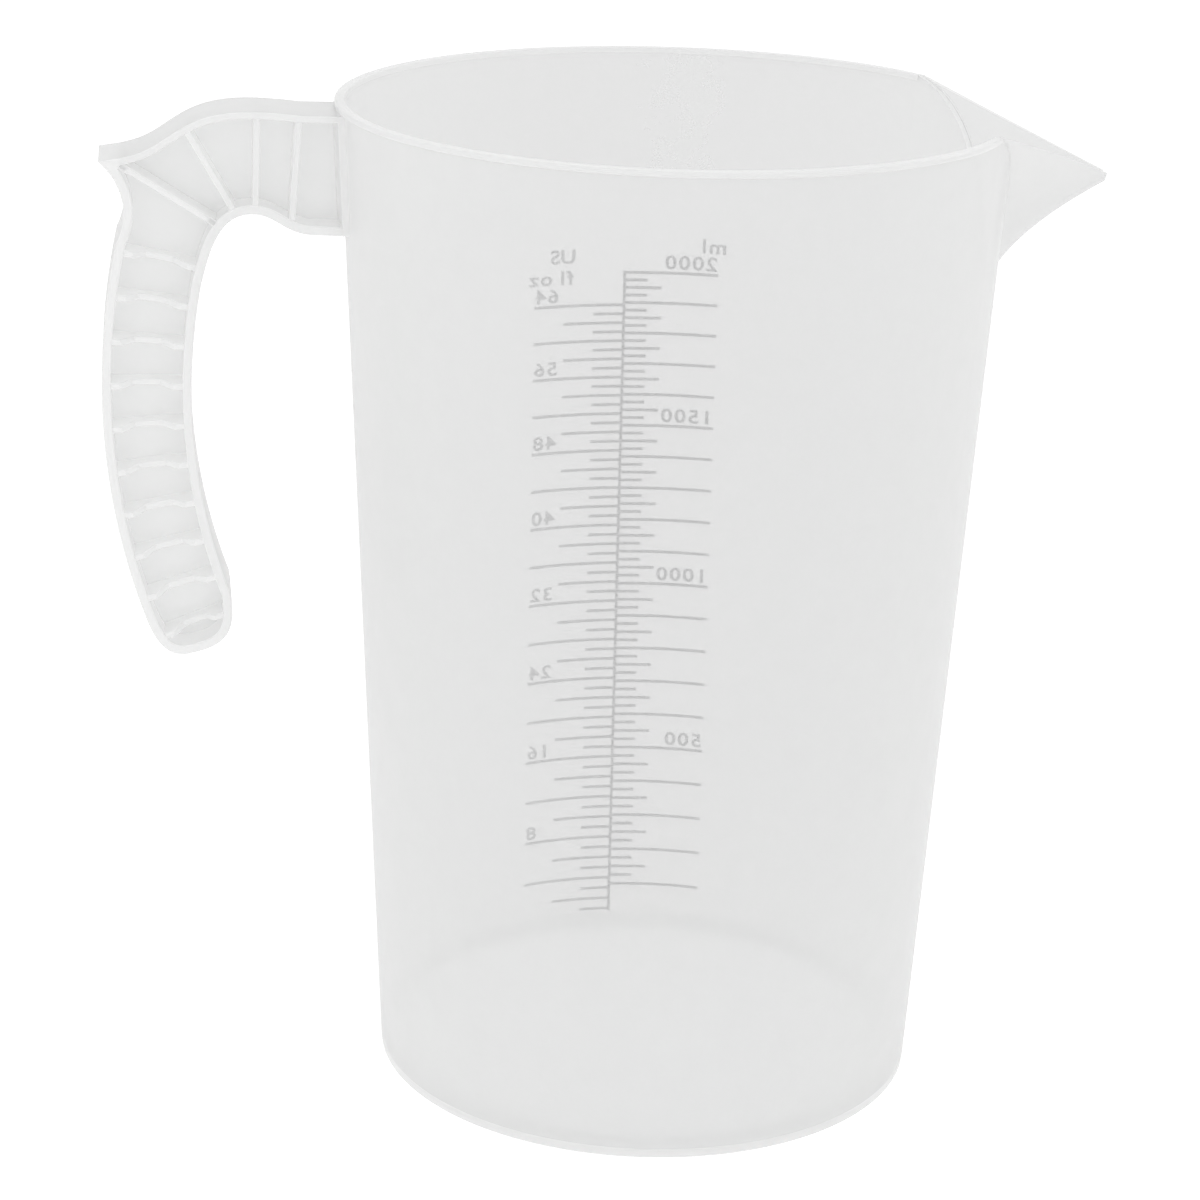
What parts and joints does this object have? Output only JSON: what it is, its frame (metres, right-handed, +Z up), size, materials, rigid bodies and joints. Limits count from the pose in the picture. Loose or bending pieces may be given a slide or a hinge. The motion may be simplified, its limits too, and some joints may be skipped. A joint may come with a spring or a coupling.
{
  "type": "measuring jug",
  "caption": "Translucent plastic measuring jug with a tapered round body, a drooping pour spout, an open ribbed grip handle and a printed ml and fl oz scale.",
  "frame": {"origin": "centre of the round foot, on the jug's axis, in the plane it stands on", "axes": "+Z up along the jug's axis, +X towards the pour spout, so the handle is along -X and the printed scale is on the +Y side"},
  "size_m": [0.2146, 0.1438, 0.2165],
  "materials": {
    "natural_polypropylene": "natural, undyed polypropylene as moulded: milky translucent, with a fine satin skin and brighter edges",
    "scale_ink": "thin grey screen-printing ink on the outside of the wall"
  },
  "bodies": {
    "root": {"jug_wall": "natural_polypropylene", "jug_floor": "natural_polypropylene", "floor_fillet": "natural_polypropylene", "foot_ring": "natural_polypropylene", "rim_lip": "natural_polypropylene", "spout": "natural_polypropylene", "handle_root": "natural_polypropylene", "handle_web": "natural_polypropylene", "top_flange": "natural_polypropylene", "palm_flange": "natural_polypropylene", "end_flange": "natural_polypropylene", "finger_flange": "natural_polypropylene", "arm_ribs": "natural_polypropylene", "beak_ribs": "natural_polypropylene", "grip_rib_set": "natural_polypropylene", "scale_spine": "scale_ink", "ml_marks": "scale_ink", "fl_oz_marks": "scale_ink", "ml_numerals": "scale_ink", "fl_oz_numerals": "scale_ink", "unit_labels": "scale_ink"}
  },
  "joints": []
}
